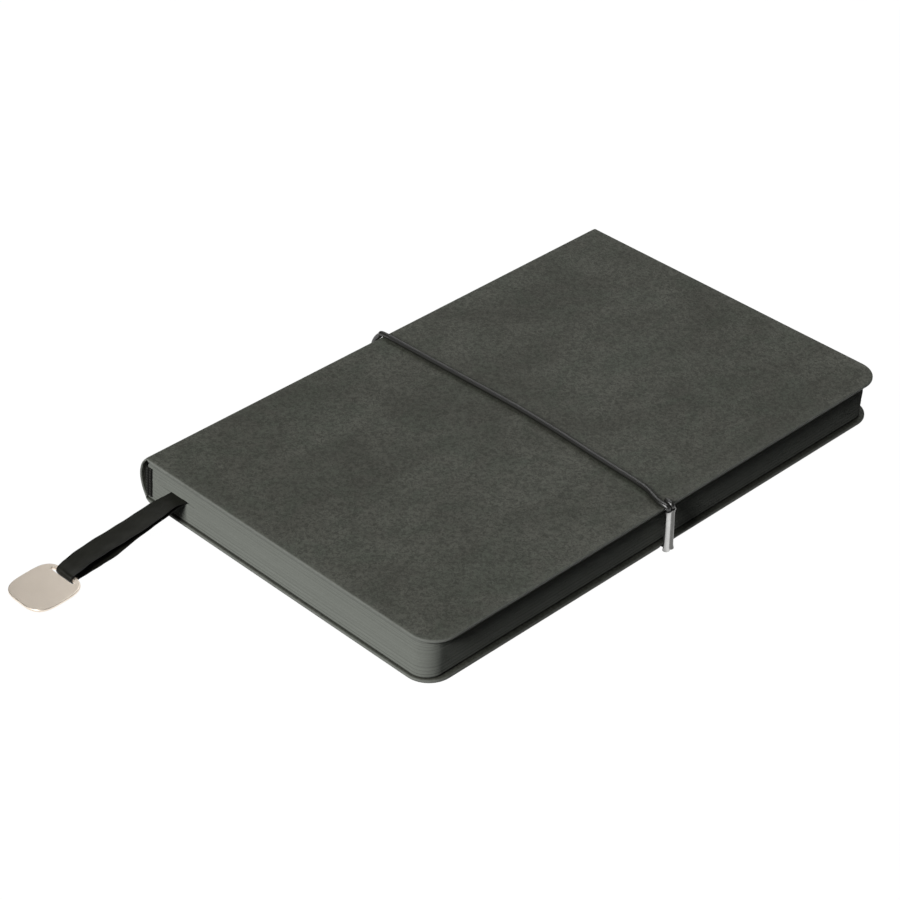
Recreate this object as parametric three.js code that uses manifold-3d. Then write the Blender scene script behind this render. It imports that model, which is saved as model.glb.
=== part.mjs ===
// A thread-sewn, case-bound pocket sketchbook with a hollow back, closed and lying on its back cover. It is
// held shut by a loop of round elastic whose ends meet in a crimped metal clip, and has a doubled ribbon
// bookmark with a tag.
//
// Millimetres, +Z up. The book is first laid out from its back edge: x runs from the spine to the fore edge,
// y from the tail to the head, z from the table up. The whole group is then shifted so that the origin is
// the middle of the closed book's footprint.
import * as THREE from 'three';
import { mergeVertices } from 'three/addons/utils/BufferGeometryUtils.js';
import Module from 'manifold-3d';

const wasm = await Module();
wasm.setup();

// ---- driving dimensions ----------------------------------------------------------------------------------

const COVER_WIDTH = 134;           // spine joint to fore edge
const COVER_HEIGHT = 210;          // tail to head
const BOOK_THICKNESS = 16.5;       // closed, outside of one cover to outside of the other
const JOINT_X = 0.2;               // both leatherette joints, in the planes of the covers' outer faces
const COVER_START_X = 0.5;         // the covers stop short of the joints
const BACK_SETBACK = 0.9;          // the back cover's fore edge, short of the front cover's
const LEAN = 1.3;                  // the book sits skew: its back cover is this much nearer the tail
const CORNER_RADIUS = 9;           // covers, at the fore edge
const JOINT_CORNER_RADIUS = 1.2;   // covers, at the spine

const COVER_THICKNESS = 1.4;
const SKIN = 0.3;                  // leatherette
const TURN_IN = 12;                // how far the leatherette is folded over the board's inner face
const ENDPAPER = 0.2;
const PASTEDOWN_INSET = 2.2;

const PAGE_OVERHANG_FORE = 2.4;    // how far the covers reach past the pages
const PAGE_OVERHANG_HEAD = 2.8;
const PAGE_OVERHANG_TAIL = 0.37;
const PAGE_CORNER_RADIUS = 6.5;
const BACK_X = -0.4;               // the rounded back of the page block, at mid thickness
const BACK_ROUNDING = 1.3;         // how much further in the back lies at the first and last section

const SECTION_THICKNESS = 1.11;
const SECTION_GAP = 0.08;
const SECTIONS_UNDER_RIBBON = 6;
const SECTIONS_OVER_RIBBON = 4;
const RIBBON_OPENING = 0.7;        // height of the opening that the doubled ribbon holds open
const FIRST_SECTION_Z = 1.95;
const BACK_LEAF_GAP = 0.05;        // between each flyleaf and its pastedown
const FRONT_LEAF_GAP = 0.15;

const SPINE_BULGE = 3.55;          // how far the rounded spine stands out behind the joints
const SPINE_BOTTOM_Z = 1.2;
const SPINE_TOP_Z = BOOK_THICKNESS - 0.2;
const SPINE_FULLNESS = 1.5;        // above 1 makes the shoulders flatter
const SPINE_DROOP = 0.85;          // below 1 puts the fullest part above the middle
const SPINE_CARD = 0.3;
const LINING = 0.5;                // glue, gauze and paper over the back of the page block
const LINING_GAP = 0.2;
const LINING_MARGIN = 1.2;         // the lining stops this short of the first and last page
const HEADBAND_X = 1.4;            // a flat stitched band that lies on the page ends along the back
const HEADBAND_WIDTH = 3.3;
const HEADBAND_DEPTH = 0.5;

const CORD_RADIUS = 0.95;          // round elastic
const CORD_CLEARANCE = 0.35;       // between the elastic and the rounded spine
const CORD_FLAT_WIDTH = 3.8;       // the same elastic squeezed under the book
const CORD_FLAT_HEIGHT = 0.45;
const CHANNEL_Y = 103.0;           // where it crosses the back cover
const CHANNEL_WIDTH = 4.3;         // the dent that it has pressed into the back cover
const CHANNEL_DEPTH = 0.5;

const CLIP_X = 135.5;              // crimp clip: two barrels side by side along the fore edge
const CLIP_Y = 101.5;
const CLIP_BOTTOM_Z = 0.55;
const CLIP_TOP_Z = 15.9;
const BARREL_RADIUS = 0.98;
const BARREL_WALL = 0.28;
const BARREL_OFFSET_Y = 0.93;
const FLARE_RADIUS = 1.25;
const FLARE_LENGTH = 1.6;
const NECK_RADIUS = 0.38;          // the elastic where the clip squeezes it

const RIBBON_X = 15.1;             // ribbon: its middle
const RIBBON_WIDTH = 9.0;
const RIBBON_THICKNESS = 0.25;
const RIBBON_RETURN_TUCK = 25;     // how far the returning end runs back in between the pages

const TAG_CENTRE = [14.9, -53.6];
const TAG_SIZE = 19.6;
const TAG_THICKNESS = 1.0;
const TAG_SQUARENESS = 3.4;        // exponent of the superellipse outline
const SLOT_LENGTH = 11.2;
const SLOT_WIDTH = 1.1;
const SLOT_EDGE = 1.9;             // the bar of metal between the slot and the tag's near edge
const BAR_Z = 1.6;                 // that bar's middle, held up by the ribbon under it
const TURN_RADIUS = 1.42;          // the ribbon's turn round the bar

const TAU = 2 * Math.PI;

// ---- materials -------------------------------------------------------------------------------------------

const finish = (color, roughness, metalness = 0) =>
  new THREE.MeshStandardMaterial({ color, roughness, metalness });

const LEATHERETTE = finish(0x474944, 0.6);
const BOARD = finish(0x8c8272, 0.9);
const ENDPAPER_WHITE = finish(0xe6e2d8, 0.9);
const PAPER = finish(0xe4e0d4, 0.9);
const CARD = finish(0x2a2a28, 0.85);
const KRAFT = finish(0xb9ad98, 0.9);
const HEADBAND_CLOTH = finish(0x232323, 0.8);
const ELASTIC = finish(0x1d1d1d, 0.75);
const NICKEL = finish(0xc8c8ca, 0.25, 1);
const RIBBON_SATIN = finish(0x141414, 0.45);
const TAG_METAL = finish(0xc6bbaf, 0.35, 1);

// ---- solids and booleans ---------------------------------------------------------------------------------

const toManifold = (geometry) => {
  const bare = geometry.clone();
  bare.deleteAttribute('normal');
  bare.deleteAttribute('uv');
  const merged = mergeVertices(bare, 1e-4);
  return new wasm.Manifold(new wasm.Mesh({
    numProp: 3,
    vertProperties: Float32Array.from(merged.attributes.position.array),
    triVerts: Uint32Array.from(merged.index.array),
  }));
};

const fromManifold = (solid) => {
  const mesh = solid.getMesh();
  const geometry = new THREE.BufferGeometry();
  geometry.setAttribute('position', new THREE.BufferAttribute(mesh.vertProperties, 3));
  geometry.setIndex(new THREE.BufferAttribute(mesh.triVerts, 1));
  geometry.computeVertexNormals();
  return geometry;
};

const join = (...geometries) =>
  fromManifold(geometries.map(toManifold).reduce((whole, piece) => whole.add(piece)));
const cut = (geometry, ...cutters) =>
  fromManifold(
    cutters.map(toManifold).reduce((whole, cutter) => whole.subtract(cutter), toManifold(geometry)),
  );

const box = (x0, x1, y0, y1, z0, z1) =>
  new THREE.BoxGeometry(x1 - x0, y1 - y0, z1 - z0).translate((x0 + x1) / 2, (y0 + y1) / 2, (z0 + z1) / 2);

// A flat plate between two heights: a rectangle with one corner radius at the spine, one at the fore edge.
function plate({ x0, x1, y0, y1, z0, z1, spineRadius, foreRadius }) {
  const outline = new THREE.Shape();
  outline.moveTo(x0 + spineRadius, y0);
  outline.lineTo(x1 - foreRadius, y0);
  outline.absarc(x1 - foreRadius, y0 + foreRadius, foreRadius, -Math.PI / 2, 0);
  outline.absarc(x1 - foreRadius, y1 - foreRadius, foreRadius, 0, Math.PI / 2);
  outline.lineTo(x0 + spineRadius, y1);
  outline.absarc(x0 + spineRadius, y1 - spineRadius, spineRadius, Math.PI / 2, Math.PI);
  outline.absarc(x0 + spineRadius, y0 + spineRadius, spineRadius, Math.PI, 1.5 * Math.PI);
  return new THREE.ExtrudeGeometry(outline, { depth: z1 - z0, bevelEnabled: false, curveSegments: 7 })
    .translate(0, 0, z0);
}

// The same plate as `spec`, smaller by `by` on every side.
const inset = (spec, by) => ({
  ...spec,
  x0: spec.x0 + by,
  x1: spec.x1 - by,
  y0: spec.y0 + by,
  y1: spec.y1 - by,
  spineRadius: Math.max(spec.spineRadius - by, 0.4),
  foreRadius: Math.max(spec.foreRadius - by, 1),
});

// A profile drawn in x and z, extruded along y from y0 to y1.
function extrudeAlongY(profile, y0, y1) {
  return new THREE.ExtrudeGeometry(profile, { depth: y1 - y0, bevelEnabled: false, curveSegments: 16 })
    .rotateX(Math.PI / 2)
    .translate(0, y1, 0);
}

// A section swept along points, with about `steps` steps.
function sweep(section, points, steps) {
  const path = new THREE.CatmullRomCurve3(points.map((p) => new THREE.Vector3(...p)), false, 'centripetal');
  const settings = { extrudePath: path, steps, bevelEnabled: false, curveSegments: 2 };
  return new THREE.ExtrudeGeometry(section, settings);
}

const ovalSection = (width, height, sides = 8) =>
  new THREE.Shape(Array.from({ length: sides }, (_, k) => {
    const angle = (TAU * (k + 0.5)) / sides;
    return new THREE.Vector2((width / 2) * Math.cos(angle), (height / 2) * Math.sin(angle));
  }));

// The upright parts lean with the book, so that they keep to the tail edges of both covers.
function leaned(geometry) {
  const position = geometry.attributes.position;
  for (let k = 0; k < position.count; k += 1) {
    position.setY(k, position.getY(k) + LEAN * (position.getZ(k) / BOOK_THICKNESS - 1));
  }
  return geometry;
}

const book = new THREE.Group();

function add(name, geometry, material, parent = book) {
  const mesh = new THREE.Mesh(geometry, material);
  mesh.name = name;
  parent.add(mesh);
  return mesh;
}

// ---- covers: board, leatherette turned in over it, and pastedown -----------------------------------------

const COVER_PLAN = {
  x0: COVER_START_X,
  x1: COVER_WIDTH,
  y0: 0,
  y1: COVER_HEIGHT,
  z0: 0,
  z1: COVER_THICKNESS,
  spineRadius: JOINT_CORNER_RADIUS,
  foreRadius: CORNER_RADIUS,
};

const channel = (widthAllowance, z0, z1) =>
  box(
    -1, COVER_WIDTH + 1,
    CHANNEL_Y - CHANNEL_WIDTH / 2 - widthAllowance, CHANNEL_Y + CHANNEL_WIDTH / 2 + widthAllowance,
    z0, z1,
  );

// One cover, its outer face at z = 0 and its inner face up; `dented` presses the elastic's channel in it.
function coverPieces(plan, dented) {
  const boardPlan = { ...inset(plan, SKIN), z0: SKIN, z1: COVER_THICKNESS - SKIN };
  const windowPlan = { ...inset(plan, TURN_IN), z0: SKIN, z1: COVER_THICKNESS + 1 };
  const skinDent = channel(0, -1, CHANNEL_DEPTH);
  const boardDent = channel(SKIN, -1, CHANNEL_DEPTH + SKIN);

  const fullBoard = plate(boardPlan);
  const board = dented ? cut(fullBoard, boardDent) : fullBoard;
  const wrapped = cut(plate(plan), board, plate(windowPlan));
  const leatherette = dented ? cut(wrapped, skinDent) : wrapped;

  const sheetPlan = { ...inset(plan, PASTEDOWN_INSET), z0: COVER_THICKNESS, z1: COVER_THICKNESS + ENDPAPER };
  const recessZ = { z0: COVER_THICKNESS - SKIN, z1: COVER_THICKNESS + ENDPAPER / 2 };
  const recessPlan = { ...inset(windowPlan, 0.1), ...recessZ };
  return { board, leatherette, pastedown: join(plate(sheetPlan), plate(recessPlan)) };
}

function addCovers() {
  const backPlan = { ...COVER_PLAN, x1: COVER_WIDTH - BACK_SETBACK, y0: -LEAN, y1: COVER_HEIGHT - LEAN };
  const back = coverPieces(backPlan, true);
  add('back_cover_board', back.board, BOARD);
  add('back_cover_leatherette', back.leatherette, LEATHERETTE);
  add('back_pastedown', back.pastedown, ENDPAPER_WHITE);

  // The front cover is the plain one turned over end for end, which its symmetric outline allows.
  const front = coverPieces(COVER_PLAN, false);
  const turnOver = (geometry) => geometry.rotateX(Math.PI).translate(0, COVER_HEIGHT, BOOK_THICKNESS);
  add('front_cover_board', turnOver(front.board), BOARD);
  add('front_cover_leatherette', turnOver(front.leatherette), LEATHERETTE);
  add('front_pastedown', turnOver(front.pastedown), ENDPAPER_WHITE);
}

// ---- spine: a rounded leatherette shell over a strip of card, hollow behind ------------------------------

// A point on the spine's outside in x and z, at an angle from its lower edge (0) to its upper edge (PI),
// moved inwards by `depth`.
function onSpine(angle, depth) {
  const rise = ((1 - Math.cos(angle)) / 2) ** SPINE_DROOP;
  const bottom = SPINE_BOTTOM_Z + depth;
  const top = SPINE_TOP_Z - depth;
  return [
    JOINT_X - 0.1 - (SPINE_BULGE - depth) * Math.abs(Math.sin(angle)) ** SPINE_FULLNESS,
    bottom + (top - bottom) * rise,
  ];
}

const SPINE_STEPS = 24;
const spineLine = (depth) =>
  Array.from({ length: SPINE_STEPS + 1 }, (_, k) =>
    new THREE.Vector2(...onSpine((Math.PI * k) / SPINE_STEPS, depth)));
const spineShell = (outerDepth, innerDepth) =>
  new THREE.Shape([...spineLine(outerDepth), ...spineLine(innerDepth).reverse()]);

function addSpine() {
  const skin = spineShell(0, 2 * SKIN);
  const strip = spineShell(2 * SKIN + 0.02, 2 * SKIN + 0.02 + SPINE_CARD);
  add('spine_leatherette', leaned(extrudeAlongY(skin, 0, COVER_HEIGHT)), LEATHERETTE);
  add('spine_card', leaned(extrudeAlongY(strip, 1.5, COVER_HEIGHT - 1.5)), CARD);
}

// ---- page block: endpapers, sewn sections, the lining over its back, headband and tailband ---------------

const BLOCK_BOTTOM_Z = COVER_THICKNESS + ENDPAPER;
const BLOCK_TOP_Z = BOOK_THICKNESS - BLOCK_BOTTOM_Z;
const PAGE_TAIL_Y = PAGE_OVERHANG_TAIL;
const PAGE_HEAD_Y = COVER_HEIGHT - PAGE_OVERHANG_HEAD;

// Where the rounded back of the block lies at a height.
function backX(z) {
  const middle = (BLOCK_BOTTOM_Z + BLOCK_TOP_Z) / 2;
  return BACK_X + BACK_ROUNDING * ((z - middle) / (BLOCK_TOP_Z - middle)) ** 2;
}

const pagePlate = (z0, z1) => leaned(plate({
  x0: backX((z0 + z1) / 2),
  x1: COVER_WIDTH - PAGE_OVERHANG_FORE,
  y0: PAGE_TAIL_Y,
  y1: PAGE_HEAD_Y,
  z0,
  z1,
  spineRadius: 0.4,
  foreRadius: PAGE_CORNER_RADIUS,
}));

const SECTION_PITCH = SECTION_THICKNESS + SECTION_GAP;
const RIBBON_FLOOR_Z = FIRST_SECTION_Z + SECTIONS_UNDER_RIBBON * SECTION_PITCH - SECTION_GAP;
const UPPER_SECTIONS_Z = RIBBON_FLOOR_Z + RIBBON_OPENING;

function addPages() {
  const backLeafZ = BLOCK_BOTTOM_Z + BACK_LEAF_GAP;
  const frontLeafZ = BLOCK_TOP_Z - FRONT_LEAF_GAP - ENDPAPER;
  add('back_flyleaf', pagePlate(backLeafZ, backLeafZ + ENDPAPER), ENDPAPER_WHITE);
  add('front_flyleaf', pagePlate(frontLeafZ, frontLeafZ + ENDPAPER), ENDPAPER_WHITE);
  const total = SECTIONS_UNDER_RIBBON + SECTIONS_OVER_RIBBON;
  for (let k = 0; k < total; k += 1) {
    const z0 = k < SECTIONS_UNDER_RIBBON
      ? FIRST_SECTION_Z + k * SECTION_PITCH
      : UPPER_SECTIONS_Z + (k - SECTIONS_UNDER_RIBBON) * SECTION_PITCH;
    add(`section_${String(k + 1).padStart(2, '0')}`, pagePlate(z0, z0 + SECTION_THICKNESS), PAPER);
  }
}

// Points down the rounded back, `out` millimetres behind it.
const backLine = (out, z0, z1, steps = 10) =>
  Array.from({ length: steps + 1 }, (_, k) => {
    const z = z0 + ((z1 - z0) * k) / steps;
    return new THREE.Vector2(backX(z) - out, z);
  });

function addBlockBack() {
  const z0 = BLOCK_BOTTOM_Z + LINING_MARGIN;
  const z1 = BLOCK_TOP_Z - LINING_MARGIN;
  const lining = new THREE.Shape([
    ...backLine(LINING_GAP, z0, z1),
    ...backLine(LINING_GAP + LINING, z0, z1).reverse(),
  ]);
  add('spine_lining', leaned(extrudeAlongY(lining, PAGE_TAIL_Y + 0.2, PAGE_HEAD_Y - 0.2)), KRAFT);

  const oval = ovalSection(HEADBAND_DEPTH, HEADBAND_WIDTH);
  const band = (y) => leaned(sweep(oval, [z0, (z0 + z1) / 2, z1].map((z) => [HEADBAND_X, y, z]), 12));
  const stand = HEADBAND_DEPTH / 2 + 0.05;
  add('tailband', band(PAGE_TAIL_Y - stand), HEADBAND_CLOTH);
  add('headband', band(PAGE_HEAD_Y + stand), HEADBAND_CLOTH);
}

// ---- closure: round elastic right round the book, its ends crimped in a metal clip -----------------------

const TAIL_BARREL_Y = CLIP_Y - BARREL_OFFSET_Y;
const HEAD_BARREL_Y = CLIP_Y + BARREL_OFFSET_Y;
const TAIL_STRAND_Y = CLIP_Y - CORD_RADIUS - 0.03;   // the two strands lie side by side above the clip
const HEAD_STRAND_Y = CLIP_Y + CORD_RADIUS + 0.03;
const CORD_REST_Z = BOOK_THICKNESS + CORD_RADIUS + 0.03;

// A solid of revolution about z from radius and height pairs, listed from the bottom up.
const turned = (profile, x, y) =>
  new THREE.LatheGeometry(profile.map(([radius, z]) => new THREE.Vector2(radius, z)), 16)
    .rotateX(Math.PI / 2)
    .translate(x, y, 0);

function barrel(y, narrow, wide, overshoot) {
  return turned([
    [0, CLIP_BOTTOM_Z - overshoot],
    [wide, CLIP_BOTTOM_Z - overshoot],
    [narrow, CLIP_BOTTOM_Z + FLARE_LENGTH],
    [narrow, CLIP_TOP_Z - FLARE_LENGTH],
    [wide, CLIP_TOP_Z + overshoot],
    [0, CLIP_TOP_Z + overshoot],
  ], CLIP_X, y);
}

function addClip() {
  const outside = join(
    barrel(TAIL_BARREL_Y, BARREL_RADIUS, FLARE_RADIUS, 0),
    barrel(HEAD_BARREL_Y, BARREL_RADIUS, FLARE_RADIUS, 0),
  );
  const bore = BARREL_RADIUS - BARREL_WALL;
  const mouth = BARREL_OFFSET_Y - 0.04;
  const bores = [TAIL_BARREL_Y, HEAD_BARREL_Y].map((y) => barrel(y, bore, mouth, 0.1));
  const clip = cut(outside, ...bores);
  add('crimp_clip', clip, NICKEL);
}

function addElastic() {
  const round = ovalSection(2 * CORD_RADIUS, 2 * CORD_RADIUS);
  const overSpine = [150, 130, 110, 90, 70, 45, 27].map((degrees, k) => {
    const [x, z] = onSpine(THREE.MathUtils.degToRad(degrees), -CORD_RADIUS - CORD_CLEARANCE);
    return [x, 104.2 - 0.2 * k, z];
  });
  const route = [
    [CLIP_X, TAIL_STRAND_Y, CLIP_TOP_Z + 0.15],
    [CLIP_X, TAIL_STRAND_Y, 16.6],
    [135.1, 100.35, 17.5],
    [133.9, 100.2, 17.9],
    [132.3, 100.2, 17.65],
    [129, 101.1, CORD_REST_Z],
    [125, 102.4, CORD_REST_Z],
    [120, 103.1, CORD_REST_Z],
    [111, 103.6, CORD_REST_Z],
    [102, 104.0, CORD_REST_Z],
    [83, 105.1, CORD_REST_Z],
    [64, 105.7, CORD_REST_Z],
    [40, 105.3, CORD_REST_Z],
    [20, 104.8, CORD_REST_Z],
    [5, 104.5, CORD_REST_Z],
    [0.6, 104.4, CORD_REST_Z],
    [-1.3, 104.3, 17.2],
    ...overSpine,
    [-0.95, CHANNEL_Y, 1.0],
  ];
  const flatSection = ovalSection(CORD_FLAT_HEIGHT, CORD_FLAT_WIDTH);
  const flatZ = CORD_FLAT_HEIGHT / 2 + 0.02;
  const underX = [-1.7, 60, 136.2];
  const under = sweep(flatSection, underX.map((x) => [x, CHANNEL_Y, flatZ]), 6);
  const neck = (y, z0, z1) => turned([[0, z0], [NECK_RADIUS, z0], [NECK_RADIUS, z1], [0, z1]], CLIP_X, y);
  const lowerStub = turned([[0, 0.15], [0.6, 0.15], [0.6, 0.75], [0, 0.75]], CLIP_X, TAIL_BARREL_Y);
  const upperStub = sweep(round, [
    [CLIP_X, HEAD_STRAND_Y, CLIP_TOP_Z + 0.15],
    [CLIP_X, HEAD_STRAND_Y, 16.6],
    [135.1, HEAD_STRAND_Y, 17.5],
    [133.9, HEAD_STRAND_Y + 0.1, 17.9],
    [132.2, HEAD_STRAND_Y + 0.3, 17.7],
  ], 8);
  add('elastic_cord', join(
    sweep(round, route, 78),
    under,
    neck(TAIL_BARREL_Y, 0.4, CLIP_TOP_Z + 0.6),
    neck(HEAD_BARREL_Y, flatZ, CLIP_TOP_Z + 0.6),
    lowerStub,
    upperStub,
  ), ELASTIC);
}

// ---- bookmark: one ribbon, doubled through the tag's slot ------------------------------------------------

const BAR_Y = TAG_CENTRE[1] + TAG_SIZE / 2 - SLOT_EDGE / 2;

// The ribbon's middle line in y and z: down the page from the head, out of the tail, round the bar and back.
function ribbonLine() {
  const upper = RIBBON_FLOOR_Z + RIBBON_OPENING - 0.2;
  const lower = RIBBON_FLOOR_Z + 0.2;
  const out = new THREE.SplineCurve([
    [PAGE_TAIL_Y, upper], [-4, upper - 0.3], [-12, 8.1], [-22, 6.4], [-32, 4.8], [-39, 3.7],
    [BAR_Y, BAR_Z + TURN_RADIUS],
  ].map((p) => new THREE.Vector2(...p)));
  const back = new THREE.SplineCurve([
    [BAR_Y, BAR_Z - TURN_RADIUS], [-40, 0.5], [-32, 2.0], [-22, 4.4], [-12, 6.8], [-4, lower - 0.6],
    [PAGE_TAIL_Y, lower],
  ].map((p) => new THREE.Vector2(...p)));
  const turn = Array.from({ length: 7 }, (_, k) => {
    const angle = Math.PI / 2 + (Math.PI * (k + 1)) / 8;
    return new THREE.Vector2(BAR_Y + TURN_RADIUS * Math.cos(angle), BAR_Z + TURN_RADIUS * Math.sin(angle));
  });
  return [
    new THREE.Vector2(PAGE_HEAD_Y, upper),
    ...out.getSpacedPoints(24),
    ...turn,
    ...back.getSpacedPoints(24),
    new THREE.Vector2(PAGE_TAIL_Y + RIBBON_RETURN_TUCK, lower),
  ];
}

// A strip of constant thickness along a line drawn in y and z, from x0 to x1.
function strip(line, thickness, x0, x1) {
  const sides = [1, -1].map((side) => line.map((p, k) => {
    const before = line[Math.max(k - 1, 0)];
    const after = line[Math.min(k + 1, line.length - 1)];
    const along = after.clone().sub(before).normalize();
    return new THREE.Vector2(p.x - (side * along.y * thickness) / 2, p.y + (side * along.x * thickness) / 2);
  }));
  const profile = new THREE.Shape([...sides[0], ...sides[1].reverse()]);
  return new THREE.ExtrudeGeometry(profile, { depth: x1 - x0, bevelEnabled: false })
    .applyMatrix4(new THREE.Matrix4().makeBasis(
      new THREE.Vector3(0, 1, 0), new THREE.Vector3(0, 0, 1), new THREE.Vector3(1, 0, 0),
    ))
    .translate(x0, 0, 0);
}

const superellipse = (size, exponent, steps = 48) =>
  Array.from({ length: steps }, (_, k) => {
    const angle = (TAU * k) / steps;
    const reach = (value) => Math.sign(value) * Math.abs(value) ** (2 / exponent) * (size / 2);
    return new THREE.Vector2(reach(Math.cos(angle)), reach(Math.sin(angle)));
  });

function slotHole(length, width, y) {
  const half = length / 2 - width / 2;
  const hole = new THREE.Path();
  hole.absarc(half, y, width / 2, -Math.PI / 2, Math.PI / 2);
  hole.absarc(-half, y, width / 2, Math.PI / 2, 1.5 * Math.PI);
  return hole;
}

const bookmark = new THREE.Group();
book.add(bookmark);

function addBookmark() {
  const x0 = RIBBON_X - RIBBON_WIDTH / 2;
  const band = strip(ribbonLine(), RIBBON_THICKNESS, x0, x0 + RIBBON_WIDTH);
  add('bookmark_ribbon', band, RIBBON_SATIN, bookmark);

  const outline = new THREE.Shape(superellipse(TAG_SIZE, TAG_SQUARENESS));
  outline.holes.push(slotHole(SLOT_LENGTH, SLOT_WIDTH, TAG_SIZE / 2 - SLOT_EDGE - SLOT_WIDTH / 2));
  const plateGeometry = new THREE.ExtrudeGeometry(outline, {
    depth: TAG_THICKNESS, bevelEnabled: false, curveSegments: 5,
  }).translate(0, 0, -TAG_THICKNESS / 2);
  // The far edge lies on the table and the near edge is held up by the ribbon under the bar.
  const tilt = Math.asin((BAR_Z - TAG_THICKNESS / 2 - 0.03) / (TAG_SIZE - SLOT_EDGE / 2));
  const tag = add('bookmark_tag', plateGeometry, TAG_METAL, bookmark);
  tag.rotation.x = tilt;
  tag.position.set(
    TAG_CENTRE[0],
    TAG_CENTRE[1],
    TAG_THICKNESS / 2 + 0.03 + (TAG_SIZE / 2) * Math.sin(tilt),
  );
}

// ---- assembly --------------------------------------------------------------------------------------------

addCovers();
addSpine();
addPages();
addBlockBack();
addClip();
addElastic();

// The origin goes under the middle of the closed book with its elastic, measured without the bookmark.
const footprint = new THREE.Box3();
for (const mesh of book.children.filter((child) => child !== bookmark)) footprint.expandByObject(mesh);
const middle = footprint.getCenter(new THREE.Vector3());
addBookmark();
book.position.set(-middle.x, -middle.y, 0);

export default book;
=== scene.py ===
import math
import random

import bmesh
import bpy
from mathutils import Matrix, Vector, noise


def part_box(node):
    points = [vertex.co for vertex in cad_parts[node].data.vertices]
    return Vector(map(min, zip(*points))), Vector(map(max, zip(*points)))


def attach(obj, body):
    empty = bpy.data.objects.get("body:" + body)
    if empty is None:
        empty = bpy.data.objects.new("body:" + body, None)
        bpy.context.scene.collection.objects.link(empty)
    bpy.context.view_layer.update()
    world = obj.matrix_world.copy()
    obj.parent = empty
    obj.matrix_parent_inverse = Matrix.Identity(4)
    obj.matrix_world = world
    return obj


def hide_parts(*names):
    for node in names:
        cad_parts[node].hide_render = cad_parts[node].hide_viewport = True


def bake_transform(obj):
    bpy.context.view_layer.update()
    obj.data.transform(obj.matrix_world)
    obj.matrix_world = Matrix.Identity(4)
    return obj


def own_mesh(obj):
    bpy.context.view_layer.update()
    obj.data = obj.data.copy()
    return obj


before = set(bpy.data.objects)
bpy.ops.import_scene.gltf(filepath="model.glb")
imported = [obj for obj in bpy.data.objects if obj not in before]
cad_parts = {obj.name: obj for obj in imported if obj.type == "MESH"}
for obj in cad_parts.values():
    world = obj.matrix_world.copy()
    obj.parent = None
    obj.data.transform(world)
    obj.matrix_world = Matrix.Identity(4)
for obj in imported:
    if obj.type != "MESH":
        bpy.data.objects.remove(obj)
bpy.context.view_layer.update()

MM = 0.001
TAU = 2 * math.pi

# ---- the book's own layout, in millimetres: x from the spine joint, y from the tail, z from the table 

COVER_WIDTH = 134
COVER_HEIGHT = 210
THICKNESS = 16.5
COVER_THICKNESS = 1.4
BACK_SETBACK = 0.9           # the back cover's fore edge, short of the front cover's
LEAN = 1.3                   # the book sits skew: its back cover is this much nearer the tail
COVER_START_X = 0.5
CORNER_RADIUS = 9
JOINT_X = 0.2
RIBBON_WIDTH = 9.0           # the width of the satin's weave, which the strands' own width varies within
BRAID_PITCH = 1.5            # length of one turn of the elastic's yarns
BRAID_YARNS = 6
SHIFT_X = COVER_START_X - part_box("front_cover_leatherette")[0].x / MM
SHIFT_Y = -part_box("front_cover_leatherette")[0].y / MM


def at(x, y, z):
    """A point of the book's own layout, as metres in the row frame."""
    return Vector(((x - SHIFT_X) * MM, (y - SHIFT_Y) * MM, z * MM))


def leaned(y, z):
    return y + LEAN * (z / THICKNESS - 1)


def smooth(x, low, high):
    x = min(max((x - low) / (high - low), 0), 1)
    return x * x * (3 - 2 * x)


# ---- camera --------------------------------------------------------------------------------------

camera_data = bpy.data.cameras.new("camera")
camera_data.lens = 108.5
camera_data.sensor_width = 36
camera_data.clip_start = 0.01
camera_data.dof.use_dof = False
camera = bpy.data.objects.new("camera", camera_data)
bpy.context.collection.objects.link(camera)
camera.location = at(581.67, -424.61, 521.42)
camera.rotation_mode = "QUATERNION"
camera.rotation_quaternion = Vector((0.5890, -0.5677, 0.5752)).to_track_quat("Z", "Y")
bpy.context.scene.camera = camera


# ---- shader helpers ------------------------------------------------------------------------------

MIX_COLOR_A, MIX_COLOR_B, MIX_COLOR_OUT = 6, 7, 2      # the colour sockets of a Mix node


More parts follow.
